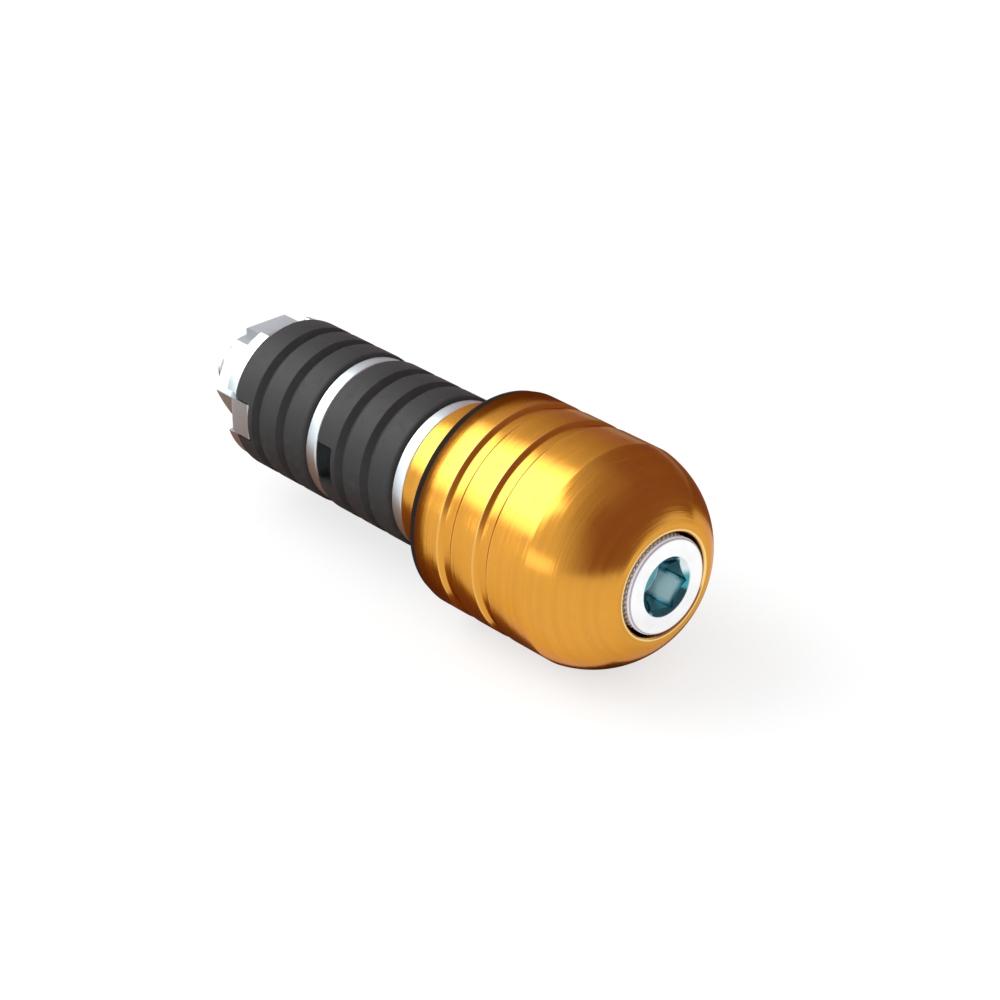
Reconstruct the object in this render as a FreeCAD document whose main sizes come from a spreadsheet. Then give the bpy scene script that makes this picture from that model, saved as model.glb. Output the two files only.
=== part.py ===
"""Bar end weight: a turned, anodised body held in a bore by a screw that squeezes two rubber bushes.

Row frame, millimetres: +X runs outwards along the screw, +Z is up, and the origin is the centre of
the seat. The nose is at +X of the seat, and what goes into the bore is at -X.
"""
import FreeCAD, Part
import os
import Sketcher

SIZES = [
    # weight body, from its seat to its nose
    ("body_dia", 23.0),
    ("rear_land", 3.45),
    ("mid_land", 3.1),
    ("front_land", 4.85),
    ("groove_width", 2.0),
    ("groove_depth", 0.42),
    ("groove_wall_angle", 45.0),
    ("groove_root_radius", 0.25),
    ("groove_edge_radius", 0.15),
    ("nose_length", 7.55),
    ("nose_arc_radius", 10.9),
    ("nose_rim_dia", 12.4),
    ("nose_rim_radius", 0.4),
    ("counterbore_dia", 10.8),
    ("lip_chamfer", 0.15),
    ("edge_break", 0.12),
    # spigot that enters the bore
    ("spigot_dia", 17.0),
    ("spigot_length", 5.0),
    ("spigot_chamfer", 0.5),
    ("relief_depth", 0.5),
    # socket head cap screw
    ("screw_dia", 6.0),
    ("thread_dia", 5.88),
    ("screw_length", 60.0),
    ("thread_length", 24.0),
    ("tip_chamfer", 0.55),
    ("head_dia", 10.0),
    ("head_height", 6.0),
    ("head_radius", 0.2),
    ("head_proud", 0.35),
    ("socket_flats", 5.0),
    ("socket_depth", 3.6),
    ("socket_mouth_dia", 6.2),
    ("socket_turn", 50.6),
    ("countersink_angle", 120.0),
    ("drill_angle", 120.0),
    # washers
    ("lock_washer_dia", 9.9),
    ("lock_washer_thick", 1.6),
    ("lock_washer_slit", 0.7),
    ("lock_washer_slant", 0.5),
    ("seat_washer_dia", 22.6),
    ("seat_washer_thick", 0.8),
    ("plate_dia", 16.0),
    ("plate_thick", 1.5),
    # rubber bushes
    ("bush_proud", 0.3),
    ("bush_length", 12.0),
    ("bush_edge_radius", 0.7),
    ("bush_groove_width", 1.4),
    ("bush_groove_depth", 0.7),
    # tabs bent out of the rear washer
    ("bend_radius", 0.3),
    ("bend_relief", 0.4),
    ("lug_width", 4.0),
    ("lug_reach", 2.5),
    ("tab_width", 5.0),
    ("tab_height", 3.0),
    # nut
    ("nut_flats", 10.0),
    ("nut_height", 5.0),
    ("nut_face_dia", 9.4),
    ("nut_chamfer_angle", 30.0),
    ("nut_bore_chamfer", 0.4),
    # clearances, on the radius or on each side
    ("hole_clearance", 0.3),
    ("washer_clearance", 0.2),
    ("seat_washer_clearance", 0.1),
    ("lock_washer_clearance", 0.1),
    ("thread_clearance", 0.03),
    ("lug_clearance", 0.2),
    ("tab_clearance", 0.05),
]

# How far a cutting outline stands past the face that it cuts
OVERCUT = 1.0

# Grooves turned in the weight body
BODY_GROOVE_COUNT = 2

# Stations of the weight body, from the inner end of its spigot
BODY_REAR = "(Dim.spigot_length + Dim.seat_washer_thick)"
GROOVE_START = f"({BODY_REAR} + Dim.rear_land)"
GROOVE_PITCH = "(Dim.groove_width + Dim.mid_land)"
LAST_GROOVE = f"({GROOVE_START} + {BODY_GROOVE_COUNT - 1} * {GROOVE_PITCH})"
NOSE_START = f"({LAST_GROOVE} + Dim.groove_width + Dim.front_land)"
BODY_FRONT = f"({NOSE_START} + Dim.nose_length)"
COUNTERBORE_DEPTH = "(Dim.head_height + Dim.lock_washer_thick - Dim.head_proud)"
COUNTERBORE_FLOOR = f"({BODY_FRONT} - {COUNTERBORE_DEPTH})"

# Where each piece's inner face lies in the row frame
BODY_AT = "(-Dim.spigot_length)"
LOCK_WASHER_AT = f"({BODY_AT} + {COUNTERBORE_FLOOR})"
SCREW_AT = f"({LOCK_WASHER_AT} + Dim.lock_washer_thick - Dim.screw_length)"
FRONT_WASHER_AT = f"({BODY_AT} - Dim.plate_thick)"
FRONT_BUSH_AT = f"({FRONT_WASHER_AT} - Dim.bush_length)"
CENTRE_WASHER_AT = f"({FRONT_BUSH_AT} - Dim.plate_thick)"
REAR_BUSH_AT = f"({CENTRE_WASHER_AT} - Dim.bush_length)"
TAB_WASHER_AT = f"({REAR_BUSH_AT} - Dim.plate_thick)"
NUT_AT = f"({TAB_WASHER_AT} - Dim.nut_height)"

# Turned grooves in a bush, which part it into bands of equal length
BUSH_GROOVE_COUNT = 2
BUSH_PITCH = f"(Dim.bush_length / {BUSH_GROOVE_COUNT + 1})"

# Strips bent each way out of the rear washer, and the slots that take them
STRIP_COUNT = 2

# Radii that two or more pieces share
HOLE_RADIUS = "(Dim.screw_dia / 2 + Dim.hole_clearance)"
PLATE_INNER = "(Dim.screw_dia / 2 + Dim.washer_clearance)"
BUSH_RADIUS = "(Dim.plate_dia / 2 + Dim.bush_proud)"
LUG_INNER = "(Dim.plate_dia / 2 - Dim.plate_thick)"
LUG_ROOT = f"({LUG_INNER} - Dim.bend_radius)"
TAB_ROOT = "(Dim.nut_flats / 2 + Dim.tab_clearance)"
TAB_INNER = f"({TAB_ROOT} + Dim.bend_radius)"

ROUND = "round"
HOLLOW = "hollow"


def fill_sheet(doc):
    """The driving sizes, one to a row, each with its alias."""
    sheet = doc.addObject("Spreadsheet::Sheet", "Dim")
    for row, (alias, value) in enumerate(SIZES, start=1):
        sheet.set(f"A{row}", alias)
        sheet.set(f"B{row}", str(value))
        sheet.setAlias(f"B{row}", alias)
    doc.recompute()
    return sheet


def number(doc, expression):
    """What an expression on the sheet comes to now."""
    result = doc.Dim.evalExpression(expression)
    return float(getattr(result, "Value", result))


def new_body(doc, label, station):
    """An empty body whose local origin stands at a station on the screw's axis."""
    body = doc.addObject("PartDesign::Body", label)
    body.Label = label
    body.setExpression("Placement.Base.x", station)
    return body


def new_sketch(body, name, role, offset=None):
    """A sketch on one of the body's own origin planes, moved along the plane's normal by offset."""
    sketch = body.newObject("Sketcher::SketchObject", name)
    plane = next(item for item in body.Origin.OriginFeatures if item.Role == role)
    sketch.AttachmentSupport = [(plane, "")]
    sketch.MapMode = "FlatFace"
    if offset:
        sketch.setExpression("AttachmentOffset.Base.z", offset)
    return sketch


def pin_corner(sketch, edge, position, corner):
    """Ties one corner of an outline to its two expressions."""
    for kind, expression in zip(("DistanceX", "DistanceY"), corner):
        value = number(sketch.Document, expression)
        index = sketch.addConstraint(Sketcher.Constraint(kind, -1, 1, edge, position, value))
        if "Dim." in expression:
            sketch.setExpression(f"Constraints[{index}]", expression)


def arc_between(start, end, radius, turn):
    """The short arc from start to end: ROUND bulges away from the material, HOLLOW into it."""
    half = (end - start) / 2
    normal = FreeCAD.Vector(-half.y, half.x, 0).normalize()
    reach = (max(radius**2 - half.Length**2, 0)) ** 0.5
    side = 1 if turn == ROUND else -1
    middle = start + half - normal * side * (radius - reach)
    return Part.Arc(start, middle, end)


def draw_outline(sketch, corners):
    """Closed outline with the material on its left: each corner is two expressions, then the radius
    and the turn of the arc that leaves it, where one does."""
    places = []
    for corner in corners:
        along, across = (number(sketch.Document, part) for part in corner[:2])
        places.append(FreeCAD.Vector(along, across, 0))
    first_edge = sketch.GeometryCount
    ends = []
    for index, corner in enumerate(corners):
        start = places[index]
        end = places[(index + 1) % len(corners)]
        if len(corner) == 2:
            edge = sketch.addGeometry(Part.LineSegment(start, end))
            ends.append((1, 2))
            continue
        radius = number(sketch.Document, corner[2])
        edge = sketch.addGeometry(arc_between(start, end, radius, corner[3]))
        limit = sketch.addConstraint(Sketcher.Constraint("Radius", edge, radius))
        sketch.setExpression(f"Constraints[{limit}]", corner[2])
        ends.append((1, 2) if corner[3] == ROUND else (2, 1))
    for index, corner in enumerate(corners):
        edge = first_edge + index
        before = first_edge + (index - 1) % len(corners)
        joined = (before, ends[index - 1][1], edge, ends[index][0])
        sketch.addConstraint(Sketcher.Constraint("Coincident", *joined))
        pin_corner(sketch, edge, ends[index][0], corner[:2])


def hexagon(flats):
    """Corners of a hexagon with two flats square to its second axis."""
    reach = f"{flats} / sqrt(3)"
    return [(f"{reach} * cos({turn})", f"{reach} * sin({turn})") for turn in range(0, 360, 60)]


def turn_solid(body, name, corners):
    """Material added by turning an outline about the screw's axis."""
    sketch = new_sketch(body, f"{name}Outline", "XY_Plane")
    draw_outline(sketch, corners)
    feature = body.newObject("PartDesign::Revolution", name)
    feature.Profile = sketch
    feature.ReferenceAxis = (sketch, ["H_Axis"])
    feature.Angle = 360
    return settle(body, feature)


def turn_cut(body, name, corners):
    """Material taken off by turning an outline about the screw's axis."""
    sketch = new_sketch(body, f"{name}Outline", "XY_Plane")
    draw_outline(sketch, corners)
    feature = body.newObject("PartDesign::Groove", name)
    feature.Profile = sketch
    feature.ReferenceAxis = (sketch, ["H_Axis"])
    feature.Angle = 360
    return settle(body, feature, cuts=True)


def settle(body, feature, cuts=False):
    """Recomputes, and makes sure that a cut did take material away."""
    before = 0.0 if body.Shape.isNull() else body.Shape.Volume
    body.Document.recompute()
    if cuts and not feature.Shape.Volume < before:
        raise RuntimeError(f"{body.Label}: {feature.Label} cuts nothing")
    return feature


def pocket(body, name, sketch, depth=None, reverse=False):
    """A straight cut from a sketch, through everything where no depth is given."""
    feature = body.newObject("PartDesign::Pocket", name)
    feature.Profile = sketch
    feature.Reversed = reverse
    if depth:
        feature.setExpression("Length", depth)
    else:
        feature.Type = "ThroughAll"
    return settle(body, feature, cuts=True)


def bent_strip(body, name, role, corners, width):
    """A strip bent out of a disc, from its section on a plane through the axis and its width."""
    sketch = new_sketch(body, f"{name}Outline", role)
    draw_outline(sketch, corners)
    feature = body.newObject("PartDesign::Pad", name)
    feature.Profile = sketch
    feature.SideType = "Symmetric"
    feature.setExpression("Length", width)
    return settle(body, feature)


def repeat_round(body, name, feature, count):
    """Copies of a feature, evenly spaced about the screw's axis."""
    pattern = body.newObject("PartDesign::PolarPattern", name)
    pattern.Originals = [feature]
    pattern.Axis = (next(item for item in body.Origin.OriginFeatures if item.Role == "X_Axis"), [""])
    pattern.Angle = 360
    pattern.Occurrences = count
    body.Tip = pattern
    body.Document.recompute()
    return pattern


def repeat_along(body, name, feature, pitch, count):
    """Copies of a feature along the screw's axis, a pitch apart."""
    pattern = body.newObject("PartDesign::LinearPattern", name)
    pattern.Originals = [feature]
    pattern.Direction = (next(item for item in body.Origin.OriginFeatures if item.Role == "X_Axis"), [""])
    pattern.setExpression("Length", f"{pitch} * {count - 1}")
    pattern.Occurrences = count
    body.Tip = pattern
    body.Document.recompute()
    return pattern


def circle_edges(shape, rings):
    """Names of the round edges that match one of the rings, each a place along the axis and a radius."""
    names = []
    for index, edge in enumerate(shape.Edges, start=1):
        if not isinstance(edge.Curve, Part.Circle):
            continue
        ring = (edge.Curve.Center.x, edge.Curve.Radius)
        if any(abs(ring[0] - x) < 1e-6 and abs(ring[1] - radius) < 1e-6 for x, radius in rings):
            names.append(f"Edge{index}")
    if len(names) != len(rings):
        raise RuntimeError(f"{len(names)} edges found for {len(rings)} rings")
    return names


def dress_rings(body, kind, name, size, rings):
    """A fillet or a chamfer on the body's round edges."""
    base = body.Tip
    local = base.Shape.copy()
    local.Placement = FreeCAD.Placement()
    places = [tuple(number(body.Document, part) for part in ring) for ring in rings]
    feature = body.newObject(f"PartDesign::{kind}", name)
    feature.Base = (base, circle_edges(local, places))
    feature.setExpression("Radius" if kind == "Fillet" else "Size", size)
    return settle(body, feature, cuts=True)


def make_weight_body(doc):
    """One turned piece: spigot, seat, two grooves, domed nose, and a counterbore for the screw's head."""
    body = new_body(doc, "weight_body", BODY_AT)
    turn_solid(body, "Blank", [
        ("0", HOLE_RADIUS),
        (COUNTERBORE_FLOOR, HOLE_RADIUS),
        (COUNTERBORE_FLOOR, "Dim.counterbore_dia / 2"),
        (BODY_FRONT, "Dim.counterbore_dia / 2"),
        (BODY_FRONT, "Dim.nose_rim_dia / 2", "Dim.nose_arc_radius", ROUND),
        (NOSE_START, "Dim.body_dia / 2"),
        (BODY_REAR, "Dim.body_dia / 2"),
        (BODY_REAR, "Dim.spigot_dia / 2 - Dim.relief_depth"),
        ("Dim.spigot_length", "Dim.spigot_dia / 2 - Dim.relief_depth"),
        ("Dim.spigot_length", "Dim.spigot_dia / 2"),
        ("Dim.spigot_chamfer", "Dim.spigot_dia / 2"),
        ("0", "Dim.spigot_dia / 2 - Dim.spigot_chamfer"),
    ])
    end = f"({GROOVE_START} + Dim.groove_width)"
    groove = turn_cut(body, "Groove", groove_section(GROOVE_START, end))
    repeat_along(body, "Grooves", groove, GROOVE_PITCH, BODY_GROOVE_COUNT)
    dress_rings(body, "Fillet", "NoseRim", "Dim.nose_rim_radius", [(BODY_FRONT, "Dim.nose_rim_dia / 2")])
    dress_rings(body, "Chamfer", "Lip", "Dim.lip_chamfer", [(BODY_FRONT, "Dim.counterbore_dia / 2")])
    dress_rings(body, "Chamfer", "RearBreak", "Dim.edge_break", [(BODY_REAR, "Dim.body_dia / 2")])
    rims = []
    for index in range(BODY_GROOVE_COUNT):
        rims += [f"{GROOVE_START} + {index} * {GROOVE_PITCH}", f"{end} + {index} * {GROOVE_PITCH}"]
    rings = [(place, "Dim.body_dia / 2") for place in rims]
    dress_rings(body, "Fillet", "GrooveEdges", "Dim.groove_edge_radius", rings)
    return body


def groove_section(start, end):
    """Outline that cuts one groove: a flat floor, rounded roots and walls that slant outwards."""
    angle = "Dim.groove_wall_angle"
    floor = "(Dim.body_dia / 2 - Dim.groove_depth)"
    outside = f"(Dim.body_dia / 2 + {OVERCUT})"
    run = f"(Dim.groove_depth / tan({angle}))"
    reach = f"(Dim.groove_root_radius * tan({angle} / 2))"
    along = f"{reach} * cos({angle})"
    above = f"{floor} + {reach} * sin({angle})"
    flare = f"{OVERCUT} / tan({angle})"
    return [
        (f"{start} + {run} + {reach}", floor),
        (f"{end} - {run} - {reach}", floor, "Dim.groove_root_radius", ROUND),
        (f"{end} - {run} + {along}", above),
        (f"{end} + {flare}", outside),
        (f"{start} - {flare}", outside),
        (f"{start} + {run} - {along}", above, "Dim.groove_root_radius", ROUND),
    ]


def make_clamp_screw(doc):
    """Socket head cap screw: plain shank, rolled thread at its major diameter, and a hexagon socket."""
    body = new_body(doc, "clamp_screw", SCREW_AT)
    body.Placement.Rotation = FreeCAD.Rotation(FreeCAD.Vector(1, 0, 0), 1)
    body.setExpression("Placement.Rotation.Angle", "Dim.socket_turn")
    top = "(Dim.screw_length + Dim.head_height)"
    turn_solid(body, "Forging", [
        ("0", "0"),
        (top, "0"),
        (top, "Dim.head_dia / 2 - Dim.head_radius", "Dim.head_radius", ROUND),
        (f"{top} - Dim.head_radius", "Dim.head_dia / 2"),
        ("Dim.screw_length", "Dim.head_dia / 2"),
        ("Dim.screw_length", "Dim.screw_dia / 2"),
        ("Dim.thread_length", "Dim.screw_dia / 2"),
        ("Dim.thread_length - (Dim.screw_dia - Dim.thread_dia) / 2", "Dim.thread_dia / 2"),
        ("Dim.tip_chamfer", "Dim.thread_dia / 2"),
        ("0", "Dim.thread_dia / 2 - Dim.tip_chamfer"),
    ])
    socket = new_sketch(body, "SocketOutline", "YZ_Plane", top)
    draw_outline(socket, hexagon("Dim.socket_flats"))
    pocket(body, "Socket", socket, "Dim.socket_depth")
    turn_cut(body, "Countersink", [
        (f"{top} - Dim.socket_mouth_dia / 2 / tan(Dim.countersink_angle / 2)", "0"),
        (top, "0"),
        (top, "Dim.socket_mouth_dia / 2"),
    ])
    turn_cut(body, "DrillPoint", [
        (f"{top} - Dim.socket_depth - Dim.socket_flats / 2 / tan(Dim.drill_angle / 2)", "0"),
        (f"{top} - Dim.socket_depth", "0"),
        (f"{top} - Dim.socket_depth", "Dim.socket_flats / 2"),
    ])
    return body


def make_washer(doc, label, station, inner, outer, thick):
    """A plain washer with its rim edges broken."""
    body = new_body(doc, label, station)
    turn_solid(body, "Disc", washer_section(inner, outer, thick))
    return body


def washer_section(inner, outer, thick):
    """Half section of a washer, from its inner radius to its broken rim."""
    return [
        ("0", inner),
        (thick, inner),
        (thick, f"{outer} - Dim.edge_break"),
        (f"{thick} - Dim.edge_break", outer),
        ("Dim.edge_break", outer),
        ("0", f"{outer} - Dim.edge_break"),
    ]


def make_lock_washer(doc):
    """Split spring washer, pressed flat under the screw's head, with its slanted slit."""
    inner = "Dim.screw_dia / 2 + Dim.lock_washer_clearance"
    thick = "Dim.lock_washer_thick"
    body = make_washer(doc, "lock_washer", LOCK_WASHER_AT, inner, "Dim.lock_washer_dia / 2", thick)
    slit = new_sketch(body, "SlitOutline", "XY_Plane")
    lean = "Dim.lock_washer_slant / 2"
    half = "Dim.lock_washer_slit / 2"
    draw_outline(slit, [
        ("0", f"-{lean} - {half}"),
        (thick, f"{lean} - {half}"),
        (thick, f"{lean} + {half}"),
        ("0", f"-{lean} + {half}"),
    ])
    pocket(body, "Slit", slit, reverse=True)
    return body


def make_bush(doc, label, station):
    """Rubber bush: two grooves round it, and two slots in its inner end that keep it from turning."""
    body = new_body(doc, label, station)
    turn_solid(body, "Moulding", [
        ("0", HOLE_RADIUS),
        ("Dim.bush_length", HOLE_RADIUS),
        ("Dim.bush_length", f"{BUSH_RADIUS} - Dim.bush_edge_radius", "Dim.bush_edge_radius", ROUND),
        ("Dim.bush_length - Dim.bush_edge_radius", BUSH_RADIUS),
        ("Dim.bush_edge_radius", BUSH_RADIUS, "Dim.bush_edge_radius", ROUND),
        ("0", f"{BUSH_RADIUS} - Dim.bush_edge_radius"),
    ])
    half = "Dim.bush_groove_width / 2"
    mouth = f"({BUSH_RADIUS} + {OVERCUT})"
    groove = turn_cut(body, "Groove", [
        (f"{BUSH_PITCH} - {half}", BUSH_RADIUS),
        (BUSH_PITCH, f"{BUSH_RADIUS} - Dim.bush_groove_depth"),
        (f"{BUSH_PITCH} + {half}", BUSH_RADIUS),
        (f"{BUSH_PITCH} + {half}", mouth),
        (f"{BUSH_PITCH} - {half}", mouth),
    ])
    repeat_along(body, "Grooves", groove, BUSH_PITCH, BUSH_GROOVE_COUNT)
    slot = new_sketch(body, "SlotOutline", "YZ_Plane")
    side = "(Dim.lug_width / 2 + Dim.lug_clearance)"
    floor = f"{LUG_ROOT} - Dim.lug_clearance"
    draw_outline(slot, [(floor, f"-{side}"), (mouth, f"-{side}"), (mouth, side), (floor, side)])
    slot = pocket(body, "Slot", slot, "Dim.lug_reach + Dim.lug_clearance", reverse=True)
    repeat_round(body, "Slots", slot, STRIP_COUNT)
    return body


def notch_rim(body, name, inner, width, upright=False):
    """Notches in a disc's rim, at its sides or at its top and bottom, where strips bend out of it."""
    sketch = new_sketch(body, f"{name}Outline", "YZ_Plane")
    side = f"({width} / 2 + Dim.bend_relief)"
    outside = f"Dim.plate_dia / 2 + {OVERCUT}"
    corners = [(inner, f"-{side}"), (outside, f"-{side}"), (outside, side), (inner, side)]
    if upright:
        corners = [(across, along) for along, across in reversed(corners)]
    draw_outline(sketch, corners)
    repeat_round(body, f"{name}es", pocket(body, name, sketch, reverse=True), STRIP_COUNT)


def make_tab_washer(doc):
    """Rear washer: two lugs bent forward into the bush, and two tabs bent back beside the nut's flats."""
    body = new_body(doc, "tab_washer", TAB_WASHER_AT)
    rim = "Dim.plate_dia / 2"
    thick = "Dim.plate_thick"
    outer_bend = "(Dim.bend_radius + Dim.plate_thick)"
    turn_solid(body, "Disc", washer_section(PLATE_INNER, rim, thick))
    notch_rim(body, "LugNotch", LUG_ROOT, "Dim.lug_width")
    notch_rim(body, "TabNotch", TAB_ROOT, "Dim.tab_width", upright=True)
    lug = bent_strip(body, "Lug", "XY_Plane", [
        ("0", LUG_ROOT),
        (thick, LUG_ROOT, "Dim.bend_radius", HOLLOW),
        (f"{thick} + Dim.bend_radius", LUG_INNER),
        (f"{thick} + Dim.lug_reach", LUG_INNER),
        (f"{thick} + Dim.lug_reach", rim),
        (f"{thick} + Dim.bend_radius", rim, outer_bend, ROUND),
    ], "Dim.lug_width")
    repeat_round(body, "Lugs", lug, STRIP_COUNT)
    tab = bent_strip(body, "Tab", "XZ_Plane", [
        (thick, TAB_ROOT, outer_bend, ROUND),
        ("-Dim.bend_radius", f"{TAB_INNER} + {thick}"),
        ("-Dim.tab_height", f"{TAB_INNER} + {thick}"),
        ("-Dim.tab_height", TAB_INNER),
        ("-Dim.bend_radius", TAB_INNER, "Dim.bend_radius", HOLLOW),
        ("0", TAB_ROOT),
    ], "Dim.tab_width")
    repeat_round(body, "Tabs", tab, STRIP_COUNT)
    return body


def make_hex_nut(doc):
    """Hexagon nut, chamfered on both faces, its thread left as a plain bore."""
    body = new_body(doc, "hex_nut", NUT_AT)
    outline = new_sketch(body, "HexagonOutline", "YZ_Plane")
    draw_outline(outline, hexagon("Dim.nut_flats"))
    prism = body.newObject("PartDesign::Pad", "Prism")
    prism.Profile = outline
    prism.setExpression("Length", "Dim.nut_height")
    settle(body, prism)
    face = "Dim.nut_face_dia / 2"
    outside = f"(Dim.nut_flats / sqrt(3) + {OVERCUT})"
    rise = f"({outside} - {face}) * tan(Dim.nut_chamfer_angle)"
    turn_cut(body, "InnerChamfer", [("0", face), (rise, outside), ("0", outside)])
    turn_cut(body, "OuterChamfer", [
        ("Dim.nut_height", face),
        ("Dim.nut_height", outside),
        (f"Dim.nut_height - {rise}", outside),
    ])
    bore = "(Dim.thread_dia / 2 + Dim.thread_clearance)"
    turn_cut(body, "Bore", [
        ("0", "0"),
        ("Dim.nut_height", "0"),
        ("Dim.nut_height", f"{bore} + Dim.nut_bore_chamfer"),
        ("Dim.nut_height - Dim.nut_bore_chamfer", bore),
        ("Dim.nut_bore_chamfer", bore),
        ("0", f"{bore} + Dim.nut_bore_chamfer"),
    ])
    return body


def build(doc):
    """Every piece, from the nose inwards."""
    fill_sheet(doc)
    seat_inner = "Dim.spigot_dia / 2 + Dim.seat_washer_clearance"
    seat = (seat_inner, "Dim.seat_washer_dia / 2", "Dim.seat_washer_thick")
    plate = (PLATE_INNER, "Dim.plate_dia / 2", "Dim.plate_thick")
    return [
        make_clamp_screw(doc),
        make_lock_washer(doc),
        make_weight_body(doc),
        make_washer(doc, "seat_washer", "0", *seat),
        make_washer(doc, "front_washer", FRONT_WASHER_AT, *plate),
        make_bush(doc, "front_bush", FRONT_BUSH_AT),
        make_washer(doc, "centre_washer", CENTRE_WASHER_AT, *plate),
        make_bush(doc, "rear_bush", REAR_BUSH_AT),
        make_tab_washer(doc),
        make_hex_nut(doc),
    ]


def check(doc, pieces):
    """Stops on any object that did not recompute, and on any piece that is not one sound solid."""
    doc.recompute()
    for item in doc.Objects:
        if "Invalid" in item.State or "Error" in item.State:
            raise RuntimeError(f"{item.Name} is in state {item.State}")
    for piece in pieces:
        if piece.Shape.isNull() or not piece.Shape.isValid() or len(piece.Shape.Solids) != 1:
            raise RuntimeError(f"{piece.Label} is not one sound solid")


def export(pieces):
    """Writes each piece to a file of its own name."""
    os.makedirs("parts", exist_ok=True)
    for piece in pieces:
        piece.Shape.exportStep(f"parts/{piece.Label}.step")
        box = piece.Shape.BoundBox
        print(f"{piece.Label:14} volume {piece.Shape.Volume:9.2f}  x {box.XMin:8.3f} to {box.XMax:8.3f}")


document = FreeCAD.newDocument("BarEndWeight")
all_pieces = build(document)
check(document, all_pieces)
export(all_pieces)
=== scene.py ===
"""Bar end weight, dressed: a turned and anodised body, its clamping screw, washers, rubber bushes and nut.

Laid out as an add-on. Each operator models one piece, or a group of like pieces, with Blender's own
modelling tools, and gives it a procedural finish. Sizes are in metres, in the row frame: +X runs
outwards along the screw, +Z is up, and the origin is the centre of the seat.
"""

import bpy
import math
from bpy.props import FloatProperty, FloatVectorProperty, IntProperty, PointerProperty
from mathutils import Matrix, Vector


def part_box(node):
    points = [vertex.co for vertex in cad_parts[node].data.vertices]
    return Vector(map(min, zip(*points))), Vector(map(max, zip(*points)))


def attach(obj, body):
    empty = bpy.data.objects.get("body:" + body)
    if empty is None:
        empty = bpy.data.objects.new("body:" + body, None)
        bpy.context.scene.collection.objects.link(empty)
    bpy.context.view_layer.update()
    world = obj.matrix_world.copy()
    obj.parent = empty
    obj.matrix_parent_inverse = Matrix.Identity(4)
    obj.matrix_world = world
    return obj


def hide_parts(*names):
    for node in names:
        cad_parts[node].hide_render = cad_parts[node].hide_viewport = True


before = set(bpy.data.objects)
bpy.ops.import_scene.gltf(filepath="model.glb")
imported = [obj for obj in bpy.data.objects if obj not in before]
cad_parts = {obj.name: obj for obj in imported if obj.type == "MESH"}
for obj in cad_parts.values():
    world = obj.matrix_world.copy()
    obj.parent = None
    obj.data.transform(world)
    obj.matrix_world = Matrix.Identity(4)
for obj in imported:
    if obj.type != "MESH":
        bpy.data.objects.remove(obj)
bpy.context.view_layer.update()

bl_info = {
    "name": "Bar End Weight",
    "version": (1, 0, 0),
    "blender": (4, 5, 0),
    "location": "3D View > Sidebar > Bar End",
    "description": "Models a bar end weight with its screw, washers, bushes and nut",
    "category": "Mesh",
}

MM = 0.001
FULL_TURN = 2 * math.pi

# Points that lie closer than this are one point
WELD = 0.001 * MM

# How far apart the faces of two neighbours may lean before the edge between them is drawn sharp
SMOOTH_ANGLE = math.radians(24)

# How far a cutting body stands past what it cuts, in millimetres
OVERCUT = 1.0

# Angles of cones and flanks: from the axis, or for the thread and the nut from square across it
COUNTERSINK_ANGLE = math.radians(49)
DRILL_ANGLE = math.radians(60)
THREAD_ANGLE = math.radians(30)
NUT_ANGLE = math.radians(30)

# How far the socket is turned from having a corner at +Y
SOCKET_TURN = math.radians(50.6)

# Ways out from the axis, as their parts towards +Y and +Z: across the two walls of the socket that get a
# painted highlight, and to the side of its mouth that gets a painted highlight, while the other side gets
# painted shade
HIGHLIT_WALLS = (math.sin(SOCKET_TURN), -math.cos(SOCKET_TURN))
LIGHT_SIDE = (0.60, 0.80)

# Lesser sizes, in millimetres
RELIEF_DEPTH = 0.5
BORE_BREAK = 0.25
LOCK_WASHER_BORE = 3.1
SLIT_WIDTH = 0.7
SLIT_LEAN = 0.5


def span(node):
    """Where a solid begins and ends along the screw's axis, and its largest radius, in millimetres."""
    low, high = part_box(node)
    return low.x / MM, high.x / MM, high.y / MM


def length(name, default, description):
    """A size in the sidebar, typed here in millimetres."""
    return FloatProperty(
        name=name,
        description=description,
        default=default * MM,
        min=0.0,
        precision=5,
        unit="LENGTH",
    )


def share(name, default, description, limit=1.0):
    """A plain number in the sidebar, from nothing to its limit."""
    return FloatProperty(name=name, description=description, default=default, min=0.0, max=limit)


def count(name, default, description):
    """A whole number in the sidebar."""
    return IntProperty(name=name, description=description, default=default, min=3)


def colour(name, default, description):
    """A colour in the sidebar."""
    return FloatVectorProperty(
        name=name,
        description=description,
        default=default,
        size=3,
        min=0.0,
        max=1.0,
        subtype="COLOR",
    )


class Millimetres:
    """Reads the lengths of a property group in millimetres."""

    def __init__(self, sizes):
        self.sizes = sizes

    def __getattr__(self, name):
        return getattr(self.sizes, name) / MM


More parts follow.
